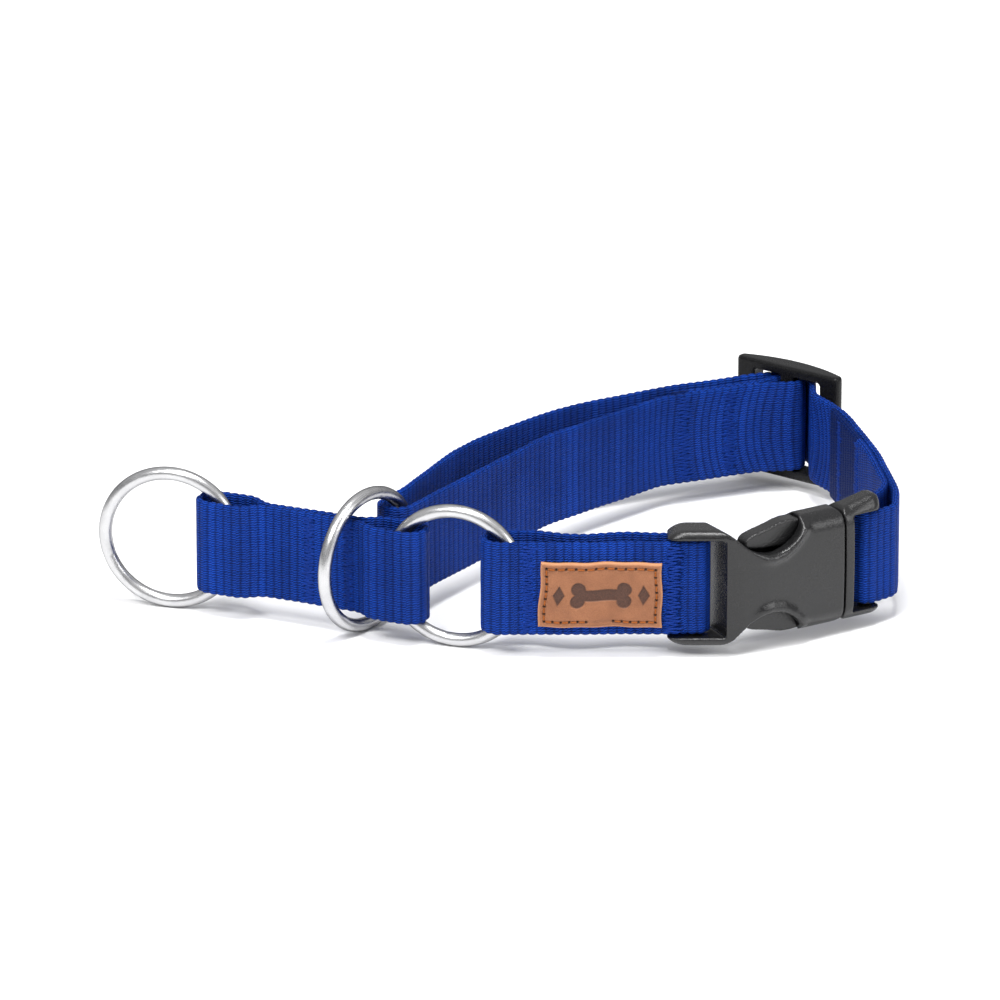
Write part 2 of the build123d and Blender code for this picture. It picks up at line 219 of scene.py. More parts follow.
def filleted(points, radii, closed=False):
    """A plan route with its corners rounded, as closely spaced points."""
    pts = [np.array(p, float) for p in points]
    count = len(pts)
    corners = range(count) if closed else range(1, count - 1)
    made = [] if closed else [pts[0]]
    for radius, i in zip(radii, corners):
        here = pts[i]
        back, ahead = pts[i - 1] - here, pts[(i + 1) % count] - here
        u, v = back / np.linalg.norm(back), ahead / np.linalg.norm(ahead)
        half = np.arccos(np.clip(u @ v, -1, 1)) / 2
        middle = here + (u + v) / np.linalg.norm(u + v) * radius / sin(half)
        start, end = here + u * radius / tan(half), here + v * radius / tan(half)
        a0 = atan2(*(start - middle)[::-1])
        sweep = (atan2(*(end - middle)[::-1]) - a0 + pi) % (2 * pi) - pi
        steps = max(3, ceil(abs(sweep) / FILLET_STEP))
        for k in range(steps + 1):
            a = a0 + sweep * k / steps
            made.append(middle + radius * np.array((cos(a), sin(a))))
    if not closed:
        made.append(pts[-1])
    return made


def evenly(points, step, closed=False):
    """The route again as evenly spaced points, with its length."""
    pts = np.array(list(points) + ([points[0]] if closed else []), float)
    keep = np.r_[True, np.linalg.norm(np.diff(pts, axis=0), axis=1) > SAME_POINT]
    pts = pts[keep]
    run = np.r_[0, np.cumsum(np.linalg.norm(np.diff(pts, axis=0), axis=1))]
    count = max(STEPS_PER_RIB, round(run[-1] / step / STEPS_PER_RIB) * STEPS_PER_RIB)
    at = np.linspace(0, run[-1], count + 1)
    made = np.c_[np.interp(at, run, pts[:, 0]), np.interp(at, run, pts[:, 1])]
    return made, run[-1]


HINGE_SPAN = RING_R - HINGE_IN
STOP_AT = frame_at(STOP_RING, STOP_YAW)
FRONT_HINGE = STOP_AT(HINGE_SPAN, 0)
SLIDE_HINGE = STOP_AT(-HINGE_SPAN, 0)
SLIDE_AT = frame_at(SLIDE_HINGE, SLIDE_DIR)
GUIDE_HINGE = frame_at(GUIDE_RING, GUIDE_YAW)(HINGE_SPAN, 0)
BACK_AT = frame_at(GUIDE_HINGE, BACK_DIR)
ADJUSTER_AT = frame_at(ADJUSTER, ADJUSTER_DIR)
SEWN_AT = frame_at(ADJUSTER, SEWN_DIR)
FLEX_AT = frame_at(FLEX, FLEX_DIR)
LOOP_AT = frame_at(PLUG_BAR, 0)
FRONT_FACE_Y = FRONT_HINGE[1] - LOOP_HALF - HALF_PLY

# The part's origin in the row frame, from a node whose place in the part is known
FRONT_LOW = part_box("front_strap")[0]
SHIFT_X = FRONT_LOW.x / MM - (FRONT_HINGE[0] - FOLD_IN - 2 * HALF_PLY)
SHIFT_Y = FRONT_LOW.y / MM - FRONT_FACE_Y


def to_row(x, y, z):
    """Part millimetres to metres in the row frame."""
    return (x + SHIFT_X) * MM, (y + SHIFT_Y) * MM, z * MM


# Meshes


def add_mesh(name, verts, faces, smooth=True):
    """A new object from vertices and faces in metres."""
    mesh = bpy.data.meshes.new(name)
    mesh.from_pydata([tuple(v) for v in verts], [], faces)
    mesh.validate()
    obj = bpy.data.objects.new(name, mesh)
    bpy.context.scene.collection.objects.link(obj)
    if smooth:
        mesh.polygons.foreach_set("use_smooth", [True] * len(mesh.polygons))
    return obj


def dress(obj, material):
    """Gives a piece its material."""
    obj.data.materials.append(material)
    return obj


def section():
    """The webbing's cross-section: place across and up, outward normal, and distance round it."""
    straight = HALF_WIDTH - HALF_PLY
    rows = []
    for side, turn in ((1, 0), (-1, 180)):
        for k in range(FACE_STEPS):
            up = side * straight * (2 * k / FACE_STEPS - 1)
            rows.append((side * HALF_PLY, up, side, 0.0))
        for k in range(EDGE_STEPS):
            c, s = turned(turn + 180 * k / EDGE_STEPS)
            rows.append((HALF_PLY * c, side * straight + HALF_PLY * s, c, s))
    made = np.array(rows)
    ring = np.r_[made, made[:1]]
    run = np.r_[0, np.cumsum(np.linalg.norm(np.diff(ring[:, :2], axis=0), axis=1))]
    return made, run


SECTION, SECTION_RUN = section()


def rib_height(turns):
    """The relief of the ribs, from 0 in a valley to 1 on a crest."""
    return np.abs(np.sin(pi * turns)) ** RIB_FULLNESS


def drift(size, x, y, z):
    """A smooth uneven amount that depends only on a place."""
    return size * noise.noise(Vector((x, y, z)))


def ribbon(name, points, length, closed=False, ribs=None, first=0, bow=None, ends=(1, 1), seal=SEAL_LENGTH):
    """Ribbed webbing on edge along an evenly spaced plan route.

    ribs and first number the ribs of a stretch that carries on from another. ends says which of its two
    ends are cut and sealed, and seal how far in from them the colour is darkened.
    """
    count = len(points) - 1
    ribs = ribs or round(length / RIB_PITCH)
    turns = first + np.arange(count + 1) * ribs / count
    if closed:
        loop = np.r_[points[-2:-1], points, points[1:2]]
    else:
        loop = np.r_[2 * points[:1] - points[1:2], points, 2 * points[-1:] - points[-2:-1]]
    ahead = loop[2:] - loop[:-2]
    ahead /= np.linalg.norm(ahead, axis=1)[:, None]
    left = np.c_[-ahead[:, 1], ahead[:, 0]]
    rows = count if closed else count + 1
    around = len(SECTION)
    across, up, normal_a, normal_u = SECTION.T
    verts = np.zeros((rows, around, 3))
    slant = np.zeros((rows, around))
    sealed = np.zeros(rows)
    for i in range(rows):
        s = turns[i] * RIB_PITCH
        share = i / count
        wave = drift(FACE_WAVE, s * 0.09, 3.1, 0.2)
        shift = drift(WIDTH_WAVE, s * 0.07, 0.4, 7.7)
        lean = np.array([drift(RIB_LEAN, s * 0.11, u * 0.10, 1.3) for u in up])
        bend = bow(share) * (1 - (up / HALF_WIDTH) ** 2) if bow else 0.0
        rib = rib_height(turns[i] + (lean + bend) / RIB_PITCH)
        slant[i] = (lean + bend) / RIB_PITCH
        sink = RIB_DEPTH * (1 - rib) * np.abs(normal_a) + SCALLOP * (1 - rib) * np.abs(normal_u)
        pinch = 0.0
        if not closed:
            gap = min(i if ends[0] else count, count - i if ends[1] else count)
            pinch = END_PINCH * max(0.0, 1 - gap / END_STEPS)
            sealed[i] = np.clip((seal - gap * RIB_PITCH / STEPS_PER_RIB) / SEAL_BLUR, 0, 1)
        a = across - normal_a * (sink + pinch) + wave
        u = up - normal_u * (sink + pinch) + shift
        x = points[i, 0] + left[i, 0] * a
        y = points[i, 1] + left[i, 1] * a
        verts[i] = np.c_[(x + SHIFT_X) * MM, (y + SHIFT_Y) * MM, (WEB_MID_Z + u) * MM]
    faces, coords = [], []
    for i in range(count):
        n = (i + 1) % rows
        a, b = i * around, n * around
        for j in range(around):
            k = (j + 1) % around
            faces.append((a + j, b + j, b + k, a + k))
            r0, r1 = SECTION_RUN[j], SECTION_RUN[j + 1]
            t0, t1 = turns[i], turns[i + 1]
            e0, e1 = sealed[i], sealed[n]
            coords += [t0 + slant[i, j], r0, e0, t1 + slant[n, j], r0, e1]
            coords += [t1 + slant[n, k], r1, e1, t0 + slant[i, k], r1, e0]
    if not closed:
        for base, row, way in ((0, 0, 1), (count * around, count, -1)):
            faces.append([base + j for j in range(around)][::way])
            for j in list(range(around))[::way]:
                coords += [turns[row], SECTION_RUN[j], 1]
    obj = add_mesh(name, verts.reshape(-1, 3), faces)
    tag = obj.data.attributes.new("weave", "FLOAT_VECTOR", "CORNER")
    tag.data.foreach_set("vector", np.array(coords, np.float32))
    for polygon in list(obj.data.polygons)[len(faces) - (0 if closed else 2):]:
        polygon.use_smooth = False
    return dress(obj, MATERIALS["webbing"])


def tube(points, radius, sides=7):
    """Vertices and faces of a thin round thread along points in metres."""
    pts = [Vector(p) for p in points]
    verts, faces = [], []
    side = Vector((0.31, 0.47, 0.83))
    for i, p in enumerate(pts):
        ahead = (pts[min(i + 1, len(pts) - 1)] - pts[max(i - 1, 0)]).normalized()
        side = (side - ahead * side.dot(ahead)).normalized()
        other = ahead.cross(side)
        thick = radius * (THREAD_END if i in (0, len(pts) - 1) else 1.0)
        for k in range(sides):
            c, s = cos(2 * pi * k / sides), sin(2 * pi * k / sides)
            verts.append(p + (side * c + other * s) * thick)
    for i in range(len(pts) - 1):
        for k in range(sides):
            n = (k + 1) % sides
            a, b = i * sides, (i + 1) * sides
            faces.append((a + k, b + k, b + n, a + n))
    last = (len(pts) - 1) * sides
    faces.append(tuple(range(sides))[::-1])
    faces.append(tuple(last + k for k in range(sides)))
    return verts, faces


def threads(name, paths, radius, material):
    """One piece of many short threads."""
    verts, faces = [], []
    for path in paths:
        v, f = tube(path, radius)
        base = len(verts)
        verts += v
        faces += [tuple(base + k for k in face) for face in f]
    return dress(add_mesh(name, verts, faces), MATERIALS[material])


def bar_tack(place, along, left, low, high):
    """The path of an uneven zigzag of thread up the webbing's width, in metres."""
    leg_rise = TACK_PITCH / 2
    legs = round((high - low) / leg_rise)
    way = 1 if left > 0 else -1
    made = []
    for leg in range(legs):
        reach = TACK_WIDTH * (0.85 + drift(0.75, leg * 1.71, along, 2.0))
        slip = drift(0.9, leg * 0.37, along, 5.0)
        for k in range(TACK_STEPS):
            t = k / TACK_STEPS
            swing = (t - 0.5) * reach * (1 if leg % 2 else -1)
            arch = 0.30 * sin(pi * t) ** 0.7 - 0.24 + drift(0.16, leg * 0.9, along, t * 3)
            rise = drift(0.5, leg * 1.3, along, 8.0)
            x, y = place(along + swing + slip, left + way * arch)
            made.append(to_row(x, y, low + (leg + t + rise) * leg_rise))
    return made


# Materials


class Graph:
    """Short calls for one material's nodes."""

    def __init__(self, name):
        self.material = bpy.data.materials.new(name)
        self.material.use_nodes = True
        self.tree = self.material.node_tree
        self.shader = self.tree.nodes["Principled BSDF"]

    def put(self, socket, value):
        """Links a socket's value, or sets a plain one."""
        if isinstance(value, bpy.types.NodeSocket):
            self.tree.links.new(value, socket)
        else:
            socket.default_value = value

    def node(self, kind, inputs, **settings):
        """A new shader node with its inputs and settings."""
        made = self.tree.nodes.new("ShaderNode" + kind)
        for key, value in settings.items():
            setattr(made, key, value)
        for key, value in inputs.items():
            self.put(made.inputs[key], value)
        return made

    def math(self, operation, a, b=0.0, clamp=False):
        return self.node("Math", {0: a, 1: b}, operation=operation, use_clamp=clamp).outputs[0]

    def wave(self, turns):
        """A sine of whole turns, from 0 to 1."""
        swing = self.math("MULTIPLY", self.math("SINE", self.math("MULTIPLY", turns, 2 * pi)), 0.5)
        return self.math("ADD", swing, 0.5)

    def attribute(self, name):
        return self.node("Attribute", {}, attribute_name=name).outputs["Vector"]

    def split(self, vector):
        return self.node("SeparateXYZ", {0: vector}).outputs

    def place(self):
        return self.node("TexCoord", {}).outputs["Object"]

    def noise(self, vector, scale, detail=2.0):
        return self.node("TexNoise", {"Vector": vector, "Scale": scale, "Detail": detail}).outputs[0]

    def span(self, value, low, high, to_low=0.0, to_high=1.0):
        """A value's place between two limits, as a place between two others."""
        sizes = {0: value, 1: low, 2: high, 3: to_low, 4: to_high}
        return self.node("MapRange", sizes).outputs[0]

    def mix(self, share, a, b, blend="MIX"):
        sizes = {0: share, 6: a, 7: b}
        return self.node("Mix", sizes, data_type="RGBA", blend_type=blend).outputs[2]

    def shade(self, color, share):
        """A colour multiplied by one amount."""
        grey = self.node("CombineXYZ", {0: share, 1: share, 2: share}).outputs[0]
        return self.mix(1.0, color, grey, "MULTIPLY")

    def finish(self, color, roughness, height, depth, **values):
        """Joins the shader's inputs; values are uniform settings of the shader."""
        bump = self.node("Bump", {"Height": height, "Distance": depth, "Strength": 1.0})
        self.put(self.shader.inputs["Base Color"], color)
        self.put(self.shader.inputs["Roughness"], roughness)
        self.put(self.shader.inputs["Normal"], bump.outputs[0])
        for key, value in values.items():
            self.shader.inputs[key.replace("_", " ").title().replace("Ior", "IOR")].default_value = value
        return self.material


def webbing_material():
    """Ribbed nylon: fine yarns laid across each rib, with painted shade between the ribs and between the
    yarns.
    """
    g = Graph("webbing blue weave")
    weave = g.attribute("weave")
    turns, up, cut = g.split(weave)
    place = g.place()
    slow = g.noise(place, 60.0)
    stray = g.noise(place, 900.0)
    angle = g.math("MULTIPLY", turns, 2 * pi)
    rib = g.math("MULTIPLY_ADD", g.math("COSINE", angle), -0.5)
    rib.node.inputs[2].default_value = 0.5
    column = g.math("FLOOR", g.math("MULTIPLY", turns, 2.0))
    rows = g.math("ADD", g.math("MULTIPLY", up, 1 / YARN_PITCH), g.math("MULTIPLY", column, 0.5))
    rows = g.math("ADD", rows, g.math("MULTIPLY", g.math("FRACT", turns), 0.8))
    rows = g.math("ADD", rows, g.math("MULTIPLY", stray, 0.7))
    yarn = g.wave(rows)
    fuzz = g.noise(place, 4200.0, 3.0)
    # lit is painted shade in the gaps between the yarns
    lit = g.span(yarn, 0.0, 0.8, 0.08, 1.15)
    # painted shade in the rib valleys: the colour falls towards the valley colour there
    tone = g.math("MULTIPLY", g.span(rib, 0.0, 0.45, 0.35, 1.0), lit)
    tone = g.math("ADD", tone, g.math("MULTIPLY", g.math("SUBTRACT", fuzz, 0.5), 1.5), clamp=True)
    blue = g.mix(tone, BLUE_DARK_AND_VALLEY_SHADE, BLUE_CREST)
    each = g.node("CombineXYZ", {0: g.math("MULTIPLY", g.math("FLOOR", turns), 7.31)}).outputs[0]
    each = g.span(g.noise(each, 1.0), 0.3, 0.7, 0.70, 1.18)
    blue = g.shade(blue, each)
    blue = g.shade(blue, g.span(slow, 0.3, 0.7, 0.80, 1.10))
    # darker towards the cut ends, as far in as the ribbon's seal reaches
    blue = g.mix(g.math("MULTIPLY", cut, 0.80), blue, BLUE_DARK_AND_VALLEY_SHADE)
    height = g.math("ADD", g.math("MULTIPLY", yarn, g.span(rib, 0.0, 0.6, 0.45, 1.0)),
                    g.math("MULTIPLY", fuzz, 0.7))
    rough = g.span(fuzz, 0.3, 0.7, 0.48, 0.66)
    return g.finish(blue, rough, height, 0.00036, specular_ior_level=0.07)


def thread_material(name, light, dark, twist):
    """Twisted sewing thread."""
    g = Graph(name)
    place = g.place()
    fine = g.noise(place, 6000.0, 3.0)
    slow = g.noise(place, 700.0)
    x, y, z = g.split(place)
    lay = g.math("MULTIPLY", g.math("ADD", g.math("ADD", x, y), z), 2 * pi / twist)
    lay = g.math("MULTIPLY", g.math("SINE", lay), 0.5)
    tone = g.math("ADD", g.math("MULTIPLY", fine, 0.8), g.math("MULTIPLY", slow, 0.4), clamp=True)
    color = g.mix(tone, dark, light)
    rough = g.span(fine, 0.3, 0.7, 0.42, 0.62)
    return g.finish(color, rough, g.math("ADD", lay, fine), 0.00008, specular_ior_level=0.10)


def steel_material():
    """Welded steel wire, brightly polished along its length with fine draw marks."""
    g = Graph("ring steel polished")
    turns, around, _ = g.split(g.attribute("wire"))
    lines = g.node("CombineXYZ", {0: g.math("MULTIPLY", turns, 3.0), 1: g.math("MULTIPLY", around, 40.0)})
    brush = g.noise(lines.outputs[0], 5.0, 3.0)
    cloud = g.noise(g.place(), 260.0, 3.0)
    color = g.mix(cloud, (0.42, 0.42, 0.43, 1), (0.60, 0.60, 0.60, 1))
    rough = g.math("ADD", g.span(brush, 0.3, 0.7, 0.16, 0.28), g.math("MULTIPLY", cloud, 0.08))
    return g.finish(color, rough, brush, 0.00002, metallic=1.0, specular_tint=(0.3, 0.3, 0.31, 1))


def plastic_material(name, shine):
    """Spark-textured black acetal with a soft shine, paler grains that are painted glints, and paler convex
    edges.
    """
    g = Graph(name)
    place = g.place()
    grain = g.noise(place, 3800.0, 3.0)
    coarse = g.noise(place, 1500.0, 2.0)
    slow = g.noise(place, 90.0, 3.0)
    edge = g.node("NewGeometry", {}).outputs["Pointiness"]
    # paler on sharp convex edges, picked out by pointiness
    paler_edge = g.span(edge, 0.52, 0.60, 0.0, 0.5)
    color = g.mix(slow, (0.0035, 0.0035, 0.0038, 1), (0.0060, 0.0060, 0.0063, 1))
    # the spark texture's grains, painted paler as glints
    color = g.mix(g.span(grain, 0.42, 0.72, 0.0, 0.7), color, (0.020, 0.020, 0.021, 1))
    color = g.mix(paler_edge, color, (0.030, 0.030, 0.031, 1))
    mixed = g.math("ADD", g.math("MULTIPLY", slow, 0.5), g.math("MULTIPLY", grain, 0.5))
    rough = g.span(mixed, 0.3, 0.7, 0.17, 0.31)
    height = g.math("ADD", grain, g.math("MULTIPLY", coarse, 0.7))
    return g.finish(color, rough, height, 0.00006, specular_ior_level=shine)


def leather_material():
    """Vegetable-tanned leather with a darker burnt motif, pale cut edges and painted shade in its needle
    holes.
    """
    g = Graph("label leather tan")
    motif, edge, hole = g.split(g.attribute("marks"))
    place = g.place()
    fine = g.noise(place, 3600.0, 4.0)
    pores = g.node("TexVoronoi", {"Vector": place, "Scale": 2600.0}).outputs["Distance"]
    slow = g.noise(place, 160.0, 3.0)
    color = g.mix(g.span(slow, 0.3, 0.7), (0.215, 0.085, 0.039, 1), (0.30, 0.123, 0.056, 1))
    color = g.mix(g.span(fine, 0.45, 0.8, 0.0, 0.5), color, (0.165, 0.062, 0.028, 1))
    color = g.mix(g.span(edge, 0.0, 1.0, 0.0, 0.75), color, (0.58, 0.28, 0.13, 1))
    burnt = g.mix(g.span(fine, 0.3, 0.7), (0.050, 0.022, 0.014, 1), (0.090, 0.040, 0.026, 1))
    color = g.mix(motif, color, burnt)
    # painted shade in the needle holes
    color = g.mix(hole, color, (0.020, 0.009, 0.005, 1))
    height = g.math("ADD", g.math("MULTIPLY", pores, 0.7), fine)
    return g.finish(color, g.span(fine, 0.3, 0.7, 0.46, 0.66), height, 0.00008, specular_ior_level=0.3)


def floor_material():
    """A plain pale studio floor."""
    g = Graph("floor")
    place = g.place()
    tone = g.mix(g.noise(place, 4.0), (0.90, 0.90, 0.90, 1), (0.93, 0.93, 0.93, 1))
    return g.finish(tone, 0.7, g.noise(place, 300.0), 0.00001)


MATERIALS = {
    "webbing": webbing_material(),
    "thread": thread_material("thread blue twist", BLUE_THREAD, BLUE_DARK_AND_VALLEY_SHADE, 0.0009),
    "label thread": thread_material("thread rust twist", RUST_LIGHT, RUST_DARK, 0.0007),
    "steel": steel_material(),
    "plastic": plastic_material("buckle plastic grained", 0.46),
    "adjuster plastic": plastic_material("adjuster plastic grained", 0.13),
    "leather": leather_material(),
}


# Webbing pieces


def front_strap():
    """The doubled strap between the stop ring and the buckle's socket."""
    left = FRONT_HINGE[0] - FOLD_IN - HALF_PLY
    mid = FRONT_HINGE[1]
    bar_x, bar_y = SOCKET_BAR
    points = [
        (left, mid - LOOP_HALF),
        (40.0, mid - LOOP_HALF),
        (46.0, bar_y - BAR_TURN),
        (bar_x + BAR_TURN, bar_y - BAR_TURN),
        (bar_x + BAR_TURN, bar_y + BAR_TURN),
        (44.0, bar_y + BAR_TURN),
        (31.0, 8.5),
        (18.0, 6.0),
        (8.8, 9.3),
        (left, mid + LOOP_HALF),
    ]
    turn = BAR_TURN - 0.05
    route = filleted(points, [TIGHT, 10, 10, turn, turn, 10, 20, 20, 10, TIGHT], closed=True)
    points, length = evenly(route, RIB_PITCH / STEPS_PER_RIB, closed=True)
    piece = ribbon("front_webbing", points, length, closed=True)
    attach(piece, "front")
    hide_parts("front_strap")


def slide_strap():
    """The doubled strap between the leash ring and the stop ring."""
    near = -FOLD_IN - HALF_PLY
    half = [
        (near, LOOP_HALF),
        (LOOP_STRAIGHT, LOOP_HALF),
        (LOOP_CLOSED, SEWN_OFFSET),
        (SLIDE_LENGTH - LOOP_CLOSED, SEWN_OFFSET),
        (SLIDE_LENGTH - LOOP_STRAIGHT, LOOP_HALF),
        (SLIDE_LENGTH - near, LOOP_HALF),
    ]
    points = [SLIDE_AT(*p) for p in half]
    points += [SLIDE_AT(along, -left) for along, left in reversed(half)]
    route = filleted(points, [TIGHT, 6, 6, 6, 6, TIGHT] * 2, closed=True)
    points, length = evenly(route, RIB_PITCH / STEPS_PER_RIB, closed=True)
    piece = ribbon("slide_webbing", points, length, closed=True)
    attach(piece, "slide_strap")
    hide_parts("slide_strap")


def back_bow(share):
    """How far the ribs bow along the strap before its fold at the adjuster, in mm."""
    return 2.6 * np.clip((share - 0.74) / 0.08, 0, 1) * np.clip((0.88 - share) / 0.03, 0, 1)


def bend_bow(share):
    """How far the ribs bow along the strap after the adjuster, in mm."""
    return -3.4 * np.clip(share / 0.2, 0, 1) * np.clip((0.75 - share) / 0.4, 0, 1)


def back_strap():
    """From the hump on the adjuster round the guide ring and back to the adjuster's middle bar."""
    fold = -FOLD_IN - HALF_PLY
    points = [
        on_circle(ADJUSTER, WRAP_R, ADJUSTER_DIR + HUMP_LEFT),
        ADJUSTER_AT(-11.2, -7.0),
        (45.0, 118.2),
        (16.5, 102.5),
        (-10.0, 73.0),
        BACK_AT(9.0, LOOP_HALF),
        BACK_AT(fold, LOOP_HALF),
        BACK_AT(fold, -LOOP_HALF),
        BACK_AT(10.0, -LOOP_HALF),
        (12.0, 80.0),
        SEWN_AT(-37, -SEWN_OFFSET),
        SEWN_AT(-9.0, -SEWN_OFFSET),
        SEWN_AT(-0.8, -FOLD_R),
        SEWN_AT(FOLD_R, -FOLD_R),
        SEWN_AT(FOLD_R, FOLD_R),
        SEWN_AT(-0.8, FOLD_R),
        SEWN_AT(-9.0, SEWN_OFFSET),
        SEWN_AT(-33, SEWN_OFFSET),
    ]
    turn = FOLD_R - 0.4
    radii = [5, 30, 60, 90, 20, TIGHT, TIGHT, 20, 60, 12, 5, 2, turn, turn, 2, 5]
    route = arc(ADJUSTER, WRAP_R, ADJUSTER_DIR + HUMP_TOP, ADJUSTER_DIR + HUMP_LEFT)
    route += [tuple(p) for p in filleted(points, radii)][1:]
    points, length = evenly(route, RIB_PITCH / STEPS_PER_RIB)
    piece = ribbon("back_webbing", points, length, ends=(0, 1), bow=back_bow)
    near, far = SEWN_AT(0, 0), SEWN_AT(-24, 0)
    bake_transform(piece)
    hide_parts("back_strap")


def bend_strap():
    """From the hump on the adjuster round the plug's bar and back up to its sewn-down end."""
    outer = [
        on_circle(ADJUSTER, WRAP_R, ADJUSTER_DIR + HUMP_RIGHT),
        ADJUSTER_AT(12.0, -6.2),
        (87.4, 102.0),
        FLEX_AT(0, -SEWN_OFFSET),
        (99.6, 40.0),
        LOOP_AT(7.4, 2.6),
        on_circle(PLUG_BAR, BAR_TURN, LOOP_START),
    ]
    inner = [
        on_circle(PLUG_BAR, BAR_TURN, LOOP_END),
        LOOP_AT(0.8, 8.9),
        (97.3, 42.5),
        FLEX_AT(0, SEWN_OFFSET),
        FLEX_AT(TURNED_LENGTH, SEWN_OFFSET),
    ]
    route = arc(ADJUSTER, WRAP_R, ADJUSTER_DIR + HUMP_TOP, ADJUSTER_DIR + HUMP_RIGHT)
    route += [tuple(p) for p in filleted(outer, [10, 60, 120, 40, 5])][1:]
    route += arc(PLUG_BAR, BAR_TURN, LOOP_START, LOOP_END)[1:]
    route += [tuple(p) for p in filleted(inner, [8, 14, 120])][1:]
    points, length = evenly(route, RIB_PITCH / STEPS_PER_RIB)
    ribs = round(length / RIB_PITCH)
    steps = (len(points) - 1) // ribs
    cut_y = FLEX_AT(FLEX_REACH, -SEWN_OFFSET)[1]
    cut_rib = next(k for k in range(ribs) if points[k * steps][1] < cut_y + RIB_PITCH)
    cut = cut_rib * steps
    upper = ribbon("bend_webbing", points[:cut + 1], length, ribs=cut_rib, ends=(0, 0), bow=bend_bow)
    lower = ribbon("buckle_webbing", points[cut:], length, ribs=ribs - cut_rib, first=cut_rib,
                   ends=(0, 1), seal=TURNED_DARK_REACH)
    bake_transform(upper)
    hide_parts("bend_strap", "adjuster_wrap")
    to_row(*FLEX_AT(-FLEX_REACH, 0), WEB_MID_Z)
    to_row(*FLEX_AT(FLEX_REACH, 0), WEB_MID_Z)
    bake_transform(lower)
    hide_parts("buckle_loop")


def sewing():
    """The zigzag tacks that close the folds of the webbing."""
    low, high = WEB_MID_Z - 11.4, WEB_MID_Z + 11.2
    face = HALF_PLY - 0.12
    slide = SEWN_OFFSET + face
    front_place = frame_at((0.0, FRONT_HINGE[1]), 0.0)
    jobs = [
        ("slide_stop_tacks", "slide_strap", "slide_stop_thread", SLIDE_AT, (14.8, 25.8), slide),
        ("slide_leash_tacks", "slide_strap", "slide_leash_thread", SLIDE_AT, (40.8,), slide),
        ("front_ring_tack", "front", "front_ring_thread", front_place, (6.8,), -LOOP_HALF - face),
        ("front_buckle_tack", "front", "front_buckle_thread", front_place, (42.6,), -LOOP_HALF - face),
        ("adjuster_tacks", "back_strap", "adjuster_thread", SEWN_AT, (-30.6, -17.6), -slide),
        ("buckle_end_tacks", "bend_strap", "buckle_end_thread", FLEX_AT, (8.8, 24.8), slide),
    ]
    for name, body, node, place, alongs, left in jobs:
        paths = [bar_tack(place, along, left, low, high) for along in alongs]
        piece = threads(name, paths, TACK_R * MM, "thread")
        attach(piece, body)
        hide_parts(node)


# Rings


def ring(name, node, body, yaw, weld):
    """A welded ring of polished wire that fills its CAD ring."""
    low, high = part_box(node)
    middle = (low + high) / 2
    wire = WIRE_R * MM
    radius = (high.z - low.z) / 2 - wire
    ahead = Vector((*turned(yaw), 0))
    side = Vector((*turned(yaw + 90), 0))
    major, minor = RING_STEPS, WIRE_STEPS
    verts, faces, coords = [], [], []
    for i in range(major):
        a = 2 * pi * i / major
        out = ahead * cos(a) + Vector((0, 0, sin(a)))
        gap = ((a - radians(weld) + pi) % (2 * pi) - pi) * radius / (WELD_REACH * MM)
        swell = 1 - WELD_NECK * np.exp(-gap * gap) + WELD_SWELL * np.exp(-(abs(gap) - 1.4) ** 2 * 3)
        for j in range(minor):
            b = 2 * pi * j / minor
            thick = wire * min(swell, 1.0)
            verts.append(middle + out * (radius + thick * cos(b)) + side * (thick * sin(b)))
    for i in range(major):
        for j in range(minor):
            n, k = (i + 1) % major, (j + 1) % minor
            faces.append((i * minor + j, n * minor + j, n * minor + k, i * minor + k))
            t0, t1, r0, r1 = i / major, (i + 1) / major, j / minor, (j + 1) / minor
            coords += [t0, r0, 0, t1, r0, 0, t1, r1, 0, t0, r1, 0]
    piece = add_mesh(name, verts, faces)
    tag = piece.data.attributes.new("wire", "FLOAT_VECTOR", "CORNER")
    tag.data.foreach_set("vector", np.array(coords, np.float32))
    dress(piece, MATERIALS["steel"])
    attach(piece, body)
    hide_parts(node)


# Label

LABEL_LOW, LABEL_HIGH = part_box("leather_label")
LABEL_MID = (LABEL_LOW + LABEL_HIGH) / 2
LABEL_HALF_X = (LABEL_HIGH.x - LABEL_LOW.x) / 2 / MM
LABEL_HALF_Z = (LABEL_HIGH.z - LABEL_LOW.z) / 2 / MM
LABEL_COLUMNS = 214
LABEL_ROWS = 118
STITCH_INSET = 1.5
CROWN_DEPTH = 0.42
CROWN_WIDTH = 0.7
RIM_WIDTH = 0.55
PRESS_DEPTH = 0.34
PRESS_BLUR = 0.30
HOLE_DEPTH = 0.36
HOLE_R = 0.32
GROOVE_DEPTH = 0.10
GROOVE_WIDTH = 0.35


def label_outline(u, w):
    """Moves a place on the square blank to the slightly uneven label as it was cut."""
    lean = 0.5 * w / LABEL_HALF_Z * (0.5 - 0.5 * u / LABEL_HALF_X)
    wave_x = 0.16 * np.sin(w * 0.55 + 1.0 + u * 0.03)
    wave_z = 0.15 * np.sin(u * 0.30 + 0.6) + 0.10 * np.sin(u * 0.71 + w * 0.1)
    return 0.985 * u + lean + wave_x, 0.98 * w + wave_z


def label_holes():
    """Where the needle went through, and the pairs that a stitch joins."""
    x, z = LABEL_HALF_X - STITCH_INSET, LABEL_HALF_Z - STITCH_INSET
    runs = [
        [(-x + 2 * x * k / 11, z) for k in range(12)],
        [(x, z - 2 * z * k / 7) for k in range(8)],
        [(-x, z - 2 * z * k / 7) for k in range(8)],
        [(-x + 2.1 * k, -z) for k in range(6)],
        [(x - 2.1 * k, -z) for k in range(6)],
    ]
    pairs = [pair for run in runs for pair in zip(run, run[1:])]
    return [hole for run in runs for hole in run], pairs


